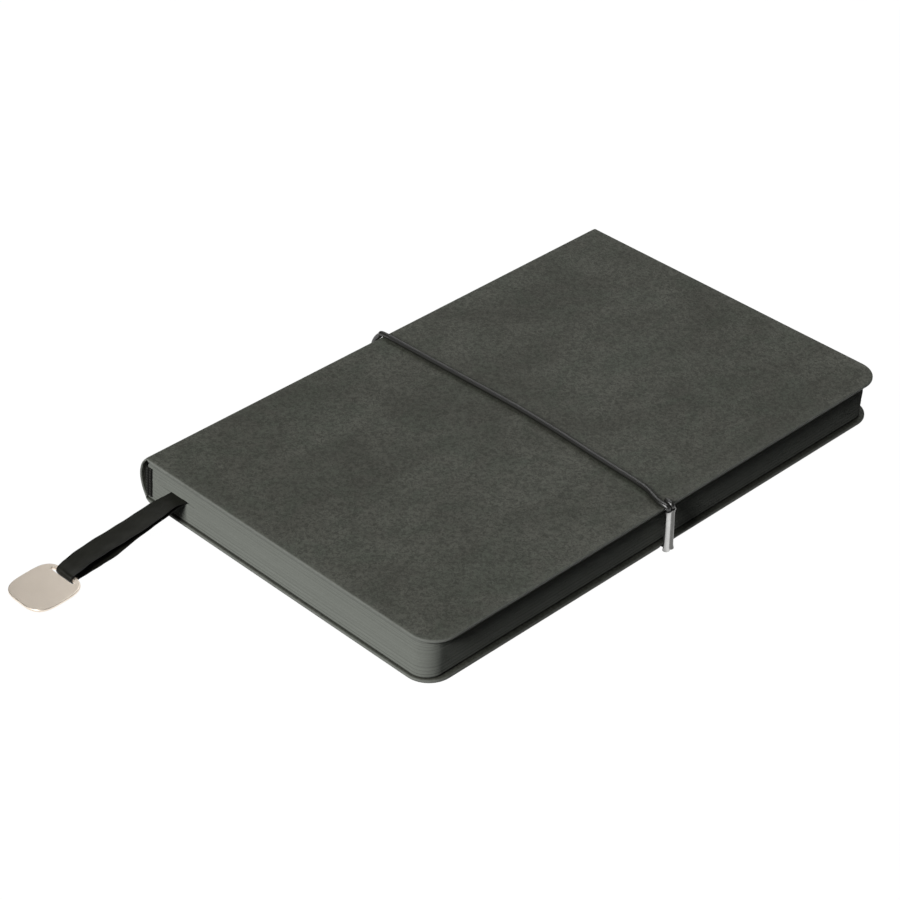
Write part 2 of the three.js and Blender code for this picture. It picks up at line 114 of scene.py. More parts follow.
class Shader:
    """A node material with a Principled BSDF, and short calls for the nodes that feed it."""

    def __init__(self, name, **constants):
        self.material = bpy.data.materials.new(name)
        self.material.use_nodes = True
        self.tree = self.material.node_tree
        self.bsdf = self.tree.nodes["Principled BSDF"]
        for key, value in constants.items():
            self.bsdf.inputs[key.replace("_", " ")].default_value = value
        self.object_coords = self.tree.nodes.new("ShaderNodeTexCoord").outputs["Object"]

    def put(self, socket, value):
        if isinstance(value, bpy.types.NodeSocket):
            self.tree.links.new(value, socket)
        else:
            socket.default_value = value

    def scaled(self, x, y, z, vector=None):
        node = self.tree.nodes.new("ShaderNodeVectorMath")
        node.operation = "MULTIPLY"
        self.put(node.inputs[0], vector or self.object_coords)
        node.inputs[1].default_value = (x, y, z)
        return node.outputs[0]

    def noise(self, scale, detail=3, roughness=0.5, vector=None, distortion=0):
        node = self.tree.nodes.new("ShaderNodeTexNoise")
        self.put(node.inputs["Vector"], vector or self.object_coords)
        node.inputs["Scale"].default_value = scale
        node.inputs["Detail"].default_value = detail
        node.inputs["Roughness"].default_value = roughness
        node.inputs["Distortion"].default_value = distortion
        return node.outputs["Fac"]

    def voronoi(self, scale, feature="F1", randomness=1, vector=None):
        node = self.tree.nodes.new("ShaderNodeTexVoronoi")
        node.feature = feature
        self.put(node.inputs["Vector"], vector or self.object_coords)
        node.inputs["Scale"].default_value = scale
        node.inputs["Randomness"].default_value = randomness
        return node.outputs["Distance"]

    def math(self, operation, a, b=0.0):
        node = self.tree.nodes.new("ShaderNodeMath")
        node.operation = operation
        self.put(node.inputs[0], a)
        self.put(node.inputs[1], b)
        return node.outputs[0]

    def spread(self, value, low, high, to_low=0.0, to_high=1.0):
        node = self.tree.nodes.new("ShaderNodeMapRange")
        self.put(node.inputs["Value"], value)
        node.inputs["From Min"].default_value = low
        node.inputs["From Max"].default_value = high
        node.inputs["To Min"].default_value = to_low
        node.inputs["To Max"].default_value = to_high
        return node.outputs[0]

    def mix(self, factor, a, b):
        node = self.tree.nodes.new("ShaderNodeMix")
        node.data_type = "RGBA"
        self.put(node.inputs[0], factor)
        self.put(node.inputs[MIX_COLOR_A], a)
        self.put(node.inputs[MIX_COLOR_B], b)
        return node.outputs[MIX_COLOR_OUT]

    def attribute(self, name):
        node = self.tree.nodes.new("ShaderNodeAttribute")
        node.attribute_name = name
        return node.outputs["Fac"]

    def uv(self, name):
        node = self.tree.nodes.new("ShaderNodeUVMap")
        node.uv_map = name
        split = self.tree.nodes.new("ShaderNodeSeparateXYZ")
        self.tree.links.new(node.outputs[0], split.inputs[0])
        return node.outputs[0], split.outputs[0], split.outputs[1]

    def bump(self, height, strength, distance, below=None):
        node = self.tree.nodes.new("ShaderNodeBump")
        node.inputs["Strength"].default_value = strength
        node.inputs["Distance"].default_value = distance
        self.put(node.inputs["Height"], height)
        if below is not None:
            self.put(node.inputs["Normal"], below)
        return node.outputs[0]

    def finish(self, color, roughness, normal=None):
        self.put(self.bsdf.inputs["Base Color"], color)
        self.put(self.bsdf.inputs["Roughness"], roughness)
        if normal is not None:
            self.put(self.bsdf.inputs["Normal"], normal)
        return self.material


def leatherette_material():
    """Black-green leatherette: cloudy two-tone dye, pebbled grain with fine creases, edges painted paler,
    partly rubbed wear and partly a painted highlight where they catch the light.
    """
    s = Shader("leatherette", Specular_IOR_Level=0.16)
    cloud = s.spread(s.noise(38, 4, 0.62, vector=s.scaled(1.15, 0.8, 1), distortion=0.7), 0.36, 0.64)
    patch = s.spread(s.noise(85, 4, 0.6, vector=s.scaled(1, 0.75, 1), distortion=1.1), 0.44, 0.66)
    color = s.mix(cloud, (0.0550, 0.0552, 0.0450, 1), (0.0790, 0.0812, 0.0660, 1))
    color = s.mix(s.math("MULTIPLY", patch, 0.6), color, (0.0500, 0.0612, 0.0450, 1))
    pebble = s.spread(s.voronoi(620, "SMOOTH_F1", 0.95), 0.15, 0.75)
    crease = s.spread(s.voronoi(480, "DISTANCE_TO_EDGE", 1.0), 0.0, 0.2)
    speck = s.spread(s.noise(820, 4, 0.85, distortion=0.8), 0.43, 0.57)
    color = s.mix(s.math("MULTIPLY", speck, 0.85), color, (0.0290, 0.0300, 0.0235, 1))
    furrow = s.math("SUBTRACT", 1.0, crease)
    color = s.mix(s.math("MULTIPLY", furrow, 0.12), color, (0.078, 0.082, 0.067, 1))
    # the 'edge' weight paints the edges paler: partly rubbed wear, partly a painted highlight on edges
    # facing the light
    wear_and_highlight = s.math("MULTIPLY", s.attribute("edge"), s.spread(s.noise(260, 3, 0.7), 0.3, 0.75, 0.8, 1.0))
    color = s.mix(wear_and_highlight, color, (0.215, 0.225, 0.203, 1))
    height = s.math("ADD", s.math("MULTIPLY", crease, 0.75), s.math("MULTIPLY", pebble, -0.5))
    height = s.math("ADD", height, s.math("MULTIPLY", s.noise(5200, 2, 0.5), 0.35))
    normal = s.bump(height, 0.6, 0.00013)
    normal = s.bump(s.noise(130, 3, 0.6), 0.14, 0.0003, normal)
    roughness = s.math("ADD", s.spread(cloud, 0, 1, 0.58, 0.50), s.math("MULTIPLY", speck, 0.07))
    return s.finish(color, roughness, normal)


def page_edge_material():
    """The cut edges of the pages, stained dark grey, with paper fibre and fine lines along the leaves."""
    s = Shader("page_edge", Specular_IOR_Level=0.05)
    lines = s.noise(1, 4, 0.7, vector=s.scaled(60, 60, 9000))
    blotch = s.spread(s.noise(75, 3, 0.6, vector=s.scaled(1, 1, 3)), 0.3, 0.7)
    color = s.mix(s.spread(lines, 0.3, 0.7), (0.190, 0.200, 0.179, 1), (0.226, 0.238, 0.214, 1))
    color = s.mix(s.math("MULTIPLY", blotch, 0.3), color, (0.198, 0.211, 0.186, 1))
    # each leaf's edge is darkened by its 'leaf' value: random tone, and painted shade on the leaves and
    # endpapers next to the back cover
    color = s.mix(s.attribute("leaf"), color, (0.030, 0.031, 0.027, 1))
    normal = s.bump(s.noise(1, 3, 0.7, vector=s.scaled(500, 500, 9000)), 0.12, 0.00004)
    return s.finish(color, 0.85, normal)


def paper_material(name, color, low):
    s = Shader(name, Specular_IOR_Level=0.2)
    fibre = s.spread(s.noise(900, 4, 0.65, distortion=1.0), 0.3, 0.7)
    tone = s.spread(s.noise(18, 2, 0.5), 0.3, 0.7)
    shade = s.mix(s.math("MULTIPLY", fibre, 0.5), color, low)
    shade = s.mix(s.math("MULTIPLY", tone, 0.25), shade, low)
    normal = s.bump(s.noise(2600, 3, 0.6), 0.3, 0.00004)
    return s.finish(shade, 0.9, normal)


def board_material():
    s = Shader("greyboard", Specular_IOR_Level=0.2)
    fibre = s.spread(s.noise(700, 5, 0.7), 0.3, 0.7)
    return s.finish(s.mix(fibre, (0.20, 0.18, 0.14, 1), (0.30, 0.27, 0.22, 1)), 0.95,
                    s.bump(fibre, 0.5, 0.0001))


def gauze_material():
    """Open-weave gauze glued down with a film of glue over kraft paper."""
    s = Shader("gauze", Specular_IOR_Level=0.3)
    weave = s.voronoi(1400, "F1", 0.12)
    color = s.mix(s.spread(weave, 0.2, 0.55), (0.17, 0.175, 0.16, 1), (0.10, 0.104, 0.095, 1))
    color = s.mix(s.math("MULTIPLY", s.noise(300, 3), 0.4), color, (0.075, 0.078, 0.070, 1))
    return s.finish(color, 0.8, s.bump(weave, 0.5, 0.0001))


def thread_material():
    s = Shader("headband_thread", Specular_IOR_Level=0.06)
    twist = s.noise(1, 2, 0.6, vector=s.scaled(2500, 6000, 9000))
    color = s.mix(s.spread(twist, 0.3, 0.7), (0.004, 0.004, 0.0035, 1), (0.010, 0.010, 0.0088, 1))
    # bead crests painted lighter by the 'ridge' value: a painted highlight
    color = s.mix(s.attribute("ridge"), color, (0.050, 0.050, 0.045, 1))
    return s.finish(color, 0.62, s.bump(twist, 0.6, 0.00008))


def elastic_material():
    """Braided cotton sheath: two sets of yarns crossing on the diagonal."""
    s = Shader("elastic_braid", Specular_IOR_Level=0.9)
    coords, along, around = s.uv("braid")
    advance = s.math("MULTIPLY", along, TAU)
    winding = s.math("MULTIPLY", around, BRAID_YARNS * TAU)
    one = s.math("SINE", s.math("ADD", advance, winding))
    two = s.math("SINE", s.math("SUBTRACT", advance, winding))
    yarn = s.math("MULTIPLY", one, two)
    fibre = s.noise(1, 3, 0.6, vector=s.scaled(14, 60, 1, vector=coords))
    color = s.mix(s.spread(yarn, -0.6, 0.8), (0.0050, 0.0051, 0.0040, 1), (0.0120, 0.0122, 0.0100, 1))
    color = s.mix(s.spread(fibre, 0.45, 0.75, 0, 0.5), color, (0.018, 0.0185, 0.015, 1))
    height = s.math("ADD", yarn, s.math("MULTIPLY", fibre, 0.5))
    return s.finish(color, s.spread(fibre, 0.3, 0.7, 0.42, 0.32), s.bump(height, 0.3, 0.00006))


def satin_material():
    """Black satin: long floats across fine ribs, glossier along one way than the other."""
    s = Shader("ribbon_satin", Specular_IOR_Level=0.22, Anisotropic=0.5)
    coords, along, across = s.uv("weave")
    rib = s.math("SINE", s.math("MULTIPLY", along, TAU * 2.2))
    warp = s.noise(1, 3, 0.6, vector=s.scaled(0.8, 16, 1, vector=coords))
    cloud = s.noise(1, 2, 0.5, vector=s.scaled(0.16, 0.5, 1, vector=coords))
    color = s.mix(s.spread(warp, 0.3, 0.7), (0.0065, 0.0067, 0.0048, 1), (0.0135, 0.0138, 0.0105, 1))
    color = s.mix(s.spread(cloud, 0.45, 0.75, 0, 0.5), color, (0.0200, 0.0205, 0.0160, 1))
    edge = s.spread(s.math("ABSOLUTE", s.math("SUBTRACT", across, RIBBON_WIDTH / 2)), 3.85, 4.3, 0, 0.5)
    color = s.mix(edge, color, (0.006, 0.006, 0.006, 1))
    height = s.math("ADD", s.math("MULTIPLY", rib, 0.4), warp)
    return s.finish(color, s.spread(warp, 0.3, 0.7, 0.38, 0.5), s.bump(height, 0.35, 0.00005))


def nickel_material():
    """Drawn nickel, with a little tarnish; the far barrel and the tail side are painted darker, a painted
    shade standing in for dark reflections.
    """
    s = Shader("nickel", Metallic=1.0, Anisotropic=0.3)
    drawn = s.noise(1, 3, 0.6, vector=s.scaled(2500, 2500, 160))
    tarnish = s.spread(s.noise(420, 4, 0.6), 0.42, 0.8)
    color = s.mix(s.math("MULTIPLY", tarnish, 0.35), (0.60, 0.60, 0.59, 1), (0.30, 0.29, 0.27, 1))
    place = s.tree.nodes.new("ShaderNodeSeparateXYZ")
    s.put(place.inputs[0], s.object_coords)
    towards_head = place.outputs[1]
    # painted shade by place on the clip: the far barrel and the tail side darkened in place of dark
    # reflections
    far_barrel_shade = s.spread(towards_head, -0.0033, -0.0026, 0.0, 0.85)
    near_side_shade = s.spread(towards_head, -0.0050, -0.0044, 0.6, 0.0)
    color = s.mix(s.math("ADD", far_barrel_shade, near_side_shade), color, (0.075, 0.075, 0.07, 1))
    roughness = s.math("ADD", s.spread(drawn, 0.3, 0.7, 0.2, 0.3), s.math("MULTIPLY", tarnish, 0.12))
    return s.finish(color, roughness, s.bump(drawn, 0.12, 0.00004))


def champagne_material():
    s = Shader("champagne_metal", Metallic=1.0)
    satin = s.noise(1, 3, 0.6, vector=s.scaled(240, 3200, 1500))
    cloud = s.spread(s.noise(160, 3, 0.6), 0.35, 0.7)
    color = s.mix(s.math("MULTIPLY", cloud, 0.4), (0.900, 0.802, 0.690, 1), (0.850, 0.752, 0.640, 1))
    roughness = s.spread(satin, 0.3, 0.7, 0.34, 0.46)
    return s.finish(color, roughness, s.bump(satin, 0.1, 0.00004))


def spine_card_material():
    s = Shader("spine_card", Specular_IOR_Level=0.2)
    fibre = s.spread(s.noise(800, 4, 0.7), 0.3, 0.7)
    return s.finish(s.mix(fibre, (0.012, 0.012, 0.011, 1), (0.024, 0.024, 0.022, 1)), 0.95,
                    s.bump(fibre, 0.4, 0.0001))


LEATHERETTE = leatherette_material()
PAGE_EDGE = page_edge_material()
PAPER = paper_material("drawing_paper", (0.80, 0.77, 0.69, 1), (0.74, 0.71, 0.62, 1))
ENDPAPER = paper_material("endpaper", (0.78, 0.76, 0.70, 1), (0.71, 0.69, 0.62, 1))
BOARD = board_material()
GAUZE = gauze_material()
THREAD = thread_material()
ELASTIC = elastic_material()
SATIN = satin_material()
NICKEL = nickel_material()
CHAMPAGNE = champagne_material()
SPINE_CARD = spine_card_material()


# ---- mesh helpers --------------------------------------------------------------------------------

def piece(name, points, faces, materials, sharp, attributes=(), uvs=None):
    """A closed mesh piece from points in the book's layout."""
    mesh = bpy.data.meshes.new(name)
    mesh.from_pydata([at(*p) for p in points], [], faces)
    for key, values in attributes:
        layer = mesh.attributes.new(key, "FLOAT", "POINT")
        layer.data.foreach_set("value", values)
    if uvs is not None:
        key, values = uvs
        layer = mesh.uv_layers.new(name=key)
        for face, corners in zip(mesh.polygons, values):
            for loop, uv in zip(face.loop_indices, corners):
                layer.data[loop].uv = uv
    return finish_piece(mesh, materials, sharp)


def finish_piece(mesh, materials, sharp):
    """An object of the mesh: normals outwards, smooth but for edges over `sharp` degrees, with its
    materials.
    """
    made = bmesh.new()
    made.from_mesh(mesh)
    bmesh.ops.recalc_face_normals(made, faces=made.faces)
    made.to_mesh(mesh)
    made.free()
    mesh.polygons.foreach_set("use_smooth", [True] * len(mesh.polygons))
    mesh.set_sharp_from_angle(angle=math.radians(sharp))
    for material in materials:
        mesh.materials.append(material)
    obj = bpy.data.objects.new(mesh.name, mesh)
    bpy.context.collection.objects.link(obj)
    return obj


def loft(loops, closed_ends=True):
    """Faces between loops of equal length, with the two ends filled."""
    points = [p for ring in loops for p in ring]
    n = len(loops[0])
    faces = []
    for k in range(len(loops) - 1):
        for i in range(n):
            j = (i + 1) % n
            faces.append((k * n + i, k * n + j, (k + 1) * n + j, (k + 1) * n + i))
    if closed_ends:
        faces.append(tuple(range(n))[::-1])
        faces.append(tuple(range((len(loops) - 1) * n, len(loops) * n)))
    return points, faces


def closed_loft(loops):
    """Faces between loops, with the last one joined to the first."""
    points, faces = loft(loops, closed_ends=False)
    n, last = len(loops[0]), len(loops) - 1
    faces += [(last * n + i, last * n + (i + 1) % n, (i + 1) % n, i) for i in range(n)]
    return points, faces


def capped_strip(loops, steps):
    """Faces between loops that run along a line and back, both ends closed by a row of quads."""
    points, faces = loft(loops, closed_ends=False)
    n = len(loops[0])
    for base in (0, (len(loops) - 1) * n):
        faces += [(base + k, base + k + 1, base + n - 2 - k, base + n - 1 - k) for k in range(steps)]
    return points, faces


def catmull(points, step):
    """A centripetal Catmull-Rom curve through points, sampled about every `step` millimetres."""
    points = [Vector(p) for p in points]
    ends = [2 * points[0] - points[1], *points, 2 * points[-1] - points[-2]]
    curve = []
    for k in range(1, len(ends) - 2):
        p0, p1, p2, p3 = ends[k - 1:k + 3]
        t0, t1 = 0.0, max((p1 - p0).length, 1e-6) ** 0.5
        t2 = t1 + max((p2 - p1).length, 1e-6) ** 0.5
        t3 = t2 + max((p3 - p2).length, 1e-6) ** 0.5
        count = max(1, round((p2 - p1).length / step))
        for i in range(count):
            t = t1 + (t2 - t1) * i / count
            a1 = p0.lerp(p1, (t - t0) / (t1 - t0))
            a2 = p1.lerp(p2, (t - t1) / (t2 - t1))
            a3 = p2.lerp(p3, (t - t2) / (t3 - t2))
            b1 = a1.lerp(a2, (t - t0) / (t2 - t0))
            b2 = a2.lerp(a3, (t - t1) / (t3 - t1))
            curve.append(b1.lerp(b2, (t - t1) / (t2 - t1)))
    curve.append(points[-1])
    return curve


def lengths(points):
    total = [0.0]
    for a, b in zip(points, points[1:]):
        total.append(total[-1] + (b - a).length)
    return total


def tangents(points):
    last = len(points) - 1
    return [(points[min(k + 1, last)] - points[max(k - 1, 0)]).normalized() for k in range(last + 1)]


# ---- bookmark: ribbon and tag --------------------------------------------------------------------

RIBBON_TOP_Z = 9.51
RIBBON_LOW_Z = 9.21
RIBBON_THICKNESS = 0.24
BAR_Y = -44.75
BAR_Z = 1.6
TURN_RADIUS = 1.42
HEAD_Y = 207.2
TAIL_Y = 0.37


def between_keys(keys, y):
    """The values at y, along keys of (y, value, value ...) that run down from the head."""
    for before, after in zip(keys, keys[1:]):
        if y >= after[0]:
            t = smooth(before[0] - y, 0, before[0] - after[0])
            return [a + (b - a) * t for a, b in zip(before[1:], after[1:])]
    return list(keys[-1][1:])


# y, middle x, half width and how far the right side is twisted down
UPPER_PLAN = [
    (60, 15.1, 4.3, 0.0), (8, 15.8, 4.0, 0.0), (0.9, 16.9, 3.75, 0.12), (-4.5, 15.75, 3.85, 0.25),
    (-9, 15.5, 4.15, 0.1), (-16, 15.3, 4.2, 0.0), (-23, 14.75, 4.2, 0.0), (-31, 14.05, 4.2, 0.0),
    (-37.5, 13.8, 4.1, 0.0), (-42, 14.2, 4.05, 0.0), (-46.5, 15.0, 3.75, 0.0),
]
LOWER_PLAN = [
    (30, 15.3, 4.2, 0.0), (2, 16.0, 3.8, 0.1), (-7, 15.6, 4.15, 0.1), (-14, 15.4, 4.2, 0.0),
    (-21, 15.1, 4.2, 0.0), (-28, 15.2, 4.3, 0.0), (-34, 14.7, 4.1, 0.0), (-38.5, 14.3, 3.9, 0.0),
    (-42, 14.4, 3.7, 0.0), (-46.5, 15.0, 3.75, 0.0),
]


def ribbon_strand(name, line, plan):
    """A satin strip along `line`, its width, drift and twist from `plan`."""
    side = Vector((1, 0, 0))
    run = lengths(line)
    across = 12
    loops = []
    for point, along, s in zip(line, tangents(line), run):
        up = side.cross(along).normalized()
        middle, half, twist = between_keys(plan, point.y)
        cup = 0.10 * smooth(-point.y, 0, 12)
        top, bottom = [], []
        for k in range(across + 1):
            v = 2 * k / across - 1
            lift = cup * (v * v - 0.4) + 0.03 * math.sin(s * 0.8 + 4 * v) - twist * (v + 1)
            place = point + side * (half * v + middle)
            top.append(place + up * (lift + RIBBON_THICKNESS / 2))
            bottom.append(place + up * (lift - RIBBON_THICKNESS / 2 * (1 - 0.5 * abs(v) ** 8)))
        loops.append(top + bottom[::-1])
    points, faces = loft(loops)
    n = len(loops[0])
    width = [RIBBON_WIDTH * k / across for k in range(across + 1)]
    cross = width + width[::-1]
    uvs = []
    for k in range(len(loops) - 1):
        for i in range(n):
            j = (i + 1) % n
            here, there = run[k], run[k + 1]
            uvs.append([(here, cross[i]), (here, cross[j]), (there, cross[j]), (there, cross[i])])
    uvs.append([(run[0], c) for c in reversed(cross)])
    uvs.append([(run[-1], c) for c in cross])
    return piece(name, [p[:] for p in points], faces, [SATIN], 50, uvs=("weave", uvs))


def round_bar(first, last):
    """The ribbon's turn round the bar, from one eighth of a half turn to another."""
    return [(0, BAR_Y + TURN_RADIUS * math.cos(a), BAR_Z + TURN_RADIUS * math.sin(a))
            for a in (math.pi / 2 + math.pi * k / 8 for k in range(first, last))]


upper_line = [*((0, y, RIBBON_TOP_Z) for y in (HEAD_Y, 120, 40, 8, TAIL_Y)), (0, -4, 9.21), (0, -12, 8.1),
              (0, -22, 6.4), (0, -32, 4.8), (0, -39, 3.7), (0, -42.6, 3.2), (0, BAR_Y, BAR_Z + TURN_RADIUS)]
upper_curve = catmull(upper_line, 1.2) + catmull([upper_line[-1], *round_bar(1, 5)], 0.35)[1:]
back_turn = round_bar(4, 9)
lower_line = [*back_turn, (0, -40, 0.5), (0, -32, 2.0), (0, -22, 4.4), (0, -12, 6.8), (0, -4, 8.61),
              (0, TAIL_Y, RIBBON_LOW_Z), (0, 8, RIBBON_LOW_Z), (0, TAIL_Y + 25, RIBBON_LOW_Z)]
lower_curve = catmull(back_turn, 0.35)[:-1] + catmull(lower_line[4:], 1.2)

ribbon_upper = ribbon_strand("ribbon_upper_strand", upper_curve, UPPER_PLAN)
ribbon_lower = ribbon_strand("ribbon_return_strand", lower_curve, LOWER_PLAN)
for strand in (ribbon_upper, ribbon_lower):
    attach(strand, "back_half")
    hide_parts("bookmark_ribbon")

TAG_CENTRE = (14.9, -53.6)
TAG_SIZE = 19.6
TAG_THICKNESS = 1.0
TAG_SQUARENESS = 3.4
SLOT_LENGTH, SLOT_WIDTH, SLOT_EDGE = 11.2, 1.1, 1.9
TAG_CLEARANCE = 0.03                     # between the tag's low edge and the table
TAG_TILT = math.asin((BAR_Z - TAG_THICKNESS / 2 - TAG_CLEARANCE) / (TAG_SIZE - SLOT_EDGE / 2))


def tag_piece():
    """The tag: a rounded-square plate with a slot, its rims broken by a narrow bevel."""
    steps = 96
    half = TAG_SIZE / 2
    angles = [TAU * (k + 0.5) / steps for k in range(steps)]

    def outline(inset):
        return [tuple(math.copysign(abs(v) ** (2 / TAG_SQUARENESS), v) * (half - inset)
                      for v in (math.cos(a), math.sin(a))) for a in angles]

    def slot(outset):
        r = SLOT_WIDTH / 2 + outset
        run = SLOT_LENGTH / 2 - SLOT_WIDTH / 2
        middle = half - SLOT_EDGE - SLOT_WIDTH / 2
        return [(math.copysign(run, math.cos(a)) + r * math.cos(a), middle + r * math.sin(a))
                for a in angles]

    low, high = -TAG_THICKNESS / 2, TAG_THICKNESS / 2
    rim = [(0.0, 0.27), (0.06, 0.12), (0.16, 0.03), (0.27, 0.0)]
    bottom = [(i, low + z) for i, z in reversed(rim)]
    top = [(i, high - z) for i, z in rim]
    outer = [[(x, y, z) for x, y in outline(i)] for i, z in bottom + top]
    inner = [[(x, y, z) for x, y in slot(0.4 * i)] for i, z in top[::-1] + bottom[::-1]]
    points, faces = closed_loft(outer + inner)
    c, s = math.cos(TAG_TILT), math.sin(TAG_TILT)
    lift = TAG_THICKNESS / 2 + TAG_CLEARANCE + half * s
    middle_x, middle_y = TAG_CENTRE
    placed = [(middle_x + x, middle_y + y * c - z * s, lift + y * s + z * c) for x, y, z in points]
    return piece("tag_plate", placed, faces, [CHAMPAGNE], 10)


tag = tag_piece()
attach(tag, "tag")
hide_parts("bookmark_tag")


# ---- covers --------------------------------------------------------------------------------------

FLAP_X, SHOULDER_X = -0.9, 1.4   # the skin curves down from the shoulder and runs on over the spine
SPINE_BULGE, SPINE_BOTTOM_Z, SPINE_TOP_Z = 3.55, 1.2, 16.3
SPINE_FULLNESS, SPINE_DROOP = 1.5, 0.85
CHANNEL_Y, CHANNEL_DEPTH = 103.0, 0.5
CHANNEL_FLOOR, CHANNEL_RIM = 1.9, 2.9        # half widths of the dent's flat bottom and of its soft rim
CHANNEL_CUTS = (-3.3, -2.9, -2.5, -2.2, -1.9, 0, 1.9, 2.2, 2.5, 2.9, 3.3)
COVER_CUTS_X = (-0.6, -0.3, 0.0, 0.2, 0.4, 0.6, 0.9, 1.3, 2, 4, 8,
                14, 22, 34, 48, 62, 76, 90, 104, 116, 126)
COVER_CUTS_Y = (12, 30, 50, 70, 90, 115, 135, 155, 175, 195)
SKIN_THICKNESS = 0.12                        # the leatherette alone, past the board


def cover_ring(x0, x1, y0, y1, inset, radius, spine_radius):
    """A cover's outline, `inset` millimetres in, anticlockwise."""
    x0, x1, y0, y1 = x0 + inset, x1 - inset, y0 + inset, y1 - inset
    r = max(radius - inset, 0.5)
    q = max(spine_radius, 0.05)
    ring = []
    for cx, cy, start, rr, count in (
        (x1 - r, y0 + r, -90, r, 14), (x1 - r, y1 - r, 0, r, 14),
        (x0 + q, y1 - q, 90, q, 3), (x0 + q, y0 + q, 180, q, 3),
    ):
        for k in range(count + 1):
            a = math.radians(start + 90 * k / count)
            ring.append((cx + rr * math.cos(a), cy + rr * math.sin(a)))
    return ring


def cut_through(made, axis, places):
    """Add edges right through a mesh, where it crosses planes square to one axis."""
    normal = Vector((axis == 0, axis == 1, axis == 2))
    for place in places:
        geometry = [*made.verts, *made.edges, *made.faces]
        bmesh.ops.bisect_plane(made, geom=geometry, plane_co=normal * place, plane_no=normal, dist=1e-5)


def cover_skin(name, front):
    """A cover's leatherette, wrapped round the board, with the flap over the spine's shoulder."""
    edge = 0.52
    steps = 5
    quarter = [math.pi / 2 * k / steps for k in range(steps + 1)]
    # each ring's third value is its 'edge' weight: the rounded edges are painted paler, partly wear and
    # partly a painted highlight
    rings = [(5.0, 0.0, 0), (1.1, 0.0, 0.05)]
    rings += [(edge * (1 - math.sin(a)), edge * (1 - math.cos(a)), 0.1 + 0.9 * math.sin(a) ** 3)
              for a in quarter]
    rings += [(edge * (1 - math.cos(a)), COVER_THICKNESS - edge * (1 - math.sin(a)),
               0.1 + 0.9 * math.cos(a) ** 3) for a in quarter]
    rings += [(1.1, COVER_THICKNESS, 0.05), (5.0, COVER_THICKNESS, 0)]
    x1 = COVER_WIDTH if front else COVER_WIDTH - BACK_SETBACK
    y0 = 0 if front else -LEAN
    loops = [[(x, y, z) for x, y in cover_ring(FLAP_X, x1, y0, y0 + COVER_HEIGHT, i, CORNER_RADIUS, 1.2)]
             for i, z, _ in rings]
    points, faces = loft(loops)
    made = bmesh.new()
    wear_and_highlight = made.verts.layers.float.new("edge")
    verts = [made.verts.new(p) for p in points]
    for k, v in enumerate(verts):
        v[wear_and_highlight] = rings[k // len(loops[0])][2]
    for f in faces:
        made.faces.new([verts[i] for i in f])
    cut_through(made, 0, COVER_CUTS_X)
    cut_through(made, 1, COVER_CUTS_Y)
    if not front:
        cut_through(made, 1, [CHANNEL_Y + d for d in CHANNEL_CUTS])
    for v in made.verts:
        x, y, z = v.co
        t = z / COVER_THICKNESS
        shoulder = max(0.0, (SHOULDER_X - x) / (SHOULDER_X - FLAP_X))
        thick = SKIN_THICKNESS + (COVER_THICKNESS - SKIN_THICKNESS) * smooth(x, -0.3, 1.2)
        if front:
            z = THICKNESS - 0.7 * shoulder ** 3.2 - thick * (1 - t)
            # a hair of unevenness, as glued leatherette over board has
            z += 0.05 * t * noise.noise(Vector((x, y, 0)) * 0.045) * smooth(x, 2, 12)
        else:
            dent = 1 - smooth(abs(y - CHANNEL_Y), CHANNEL_FLOOR, CHANNEL_RIM)
            z = 2.2 * shoulder ** 1.25 + t * thick
            z += CHANNEL_DEPTH * dent * (1 - smooth(t, 0.0, 0.8)) * smooth(x, -0.9, 0.6)
        v.co = at(x, y, z)
    mesh = bpy.data.meshes.new(name)
    made.to_mesh(mesh)
    made.free()
    return finish_piece(mesh, [LEATHERETTE], 40)


front_skin = cover_skin("front_cover_skin", True)
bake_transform(front_skin)
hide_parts("front_cover_leatherette")
back_skin = cover_skin("back_cover_skin", False)
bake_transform(back_skin)
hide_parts("back_cover_leatherette")


# ---- spine: rounded shell, hollow behind ---------------------------------------------------------

def on_spine(angle, depth):
    """A point `depth` inside the spine's outline, at an angle from 0 at the bottom to pi at the top."""
    rise = ((1 - math.cos(angle)) / 2) ** SPINE_DROOP
    bottom, top = SPINE_BOTTOM_Z + depth, SPINE_TOP_Z - depth
    bulge = (SPINE_BULGE - depth) * abs(math.sin(angle)) ** SPINE_FULLNESS
    return (JOINT_X - 0.1 - bulge, bottom + (top - bottom) * rise)


def spine_piece(name, outer, inner, y0, y1, rounding, material):
    """A curved strip the length of the spine, between two depths, its two ends rounded over."""
    steps = 40
    stations = [(y0, 0.32), (y0 + rounding * 0.3, 0.14), (y0 + rounding, 0)]
    stations += [(y0 + (y1 - y0) * k / 14, 0) for k in range(1, 14)]
    stations += [(y1 - rounding, 0), (y1 - rounding * 0.3, 0.14), (y1, 0.32)]
    loops = []
    wear_and_highlight = []
    for y, shrink in stations:
        pull = shrink * (inner - outer)
        line = [on_spine(math.pi * k / steps, outer + pull) for k in range(steps + 1)]
        back = [on_spine(math.pi * k / steps, inner - pull) for k in range(steps + 1)][::-1]
        loops.append([(x, leaned(y, z), z) for x, z in line + back])
        # the rounded-over ends are painted paler: partly wear, partly a painted highlight on the lit rim
        wear_and_highlight += [1.0 if shrink else 0.0] * len(loops[-1])
    points, faces = capped_strip(loops, steps)
    made = piece(name, points, faces, [material], 45, attributes=[("edge", wear_and_highlight)])
    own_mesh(made)
    return made


spine_shell = spine_piece("spine_shell", 0, 0.9, 0, COVER_HEIGHT, 0.5, LEATHERETTE)
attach(spine_shell, "spine")
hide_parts("spine_leatherette")
CARD_INSET = 1.5
spine_card = spine_piece(
    "spine_card_strip", 0.92, 1.2, CARD_INSET, COVER_HEIGHT - CARD_INSET, 0.2, SPINE_CARD)
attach(spine_card, "spine")
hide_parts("spine_card")


# ---- pages ---------------------------------------------------------------------------------------

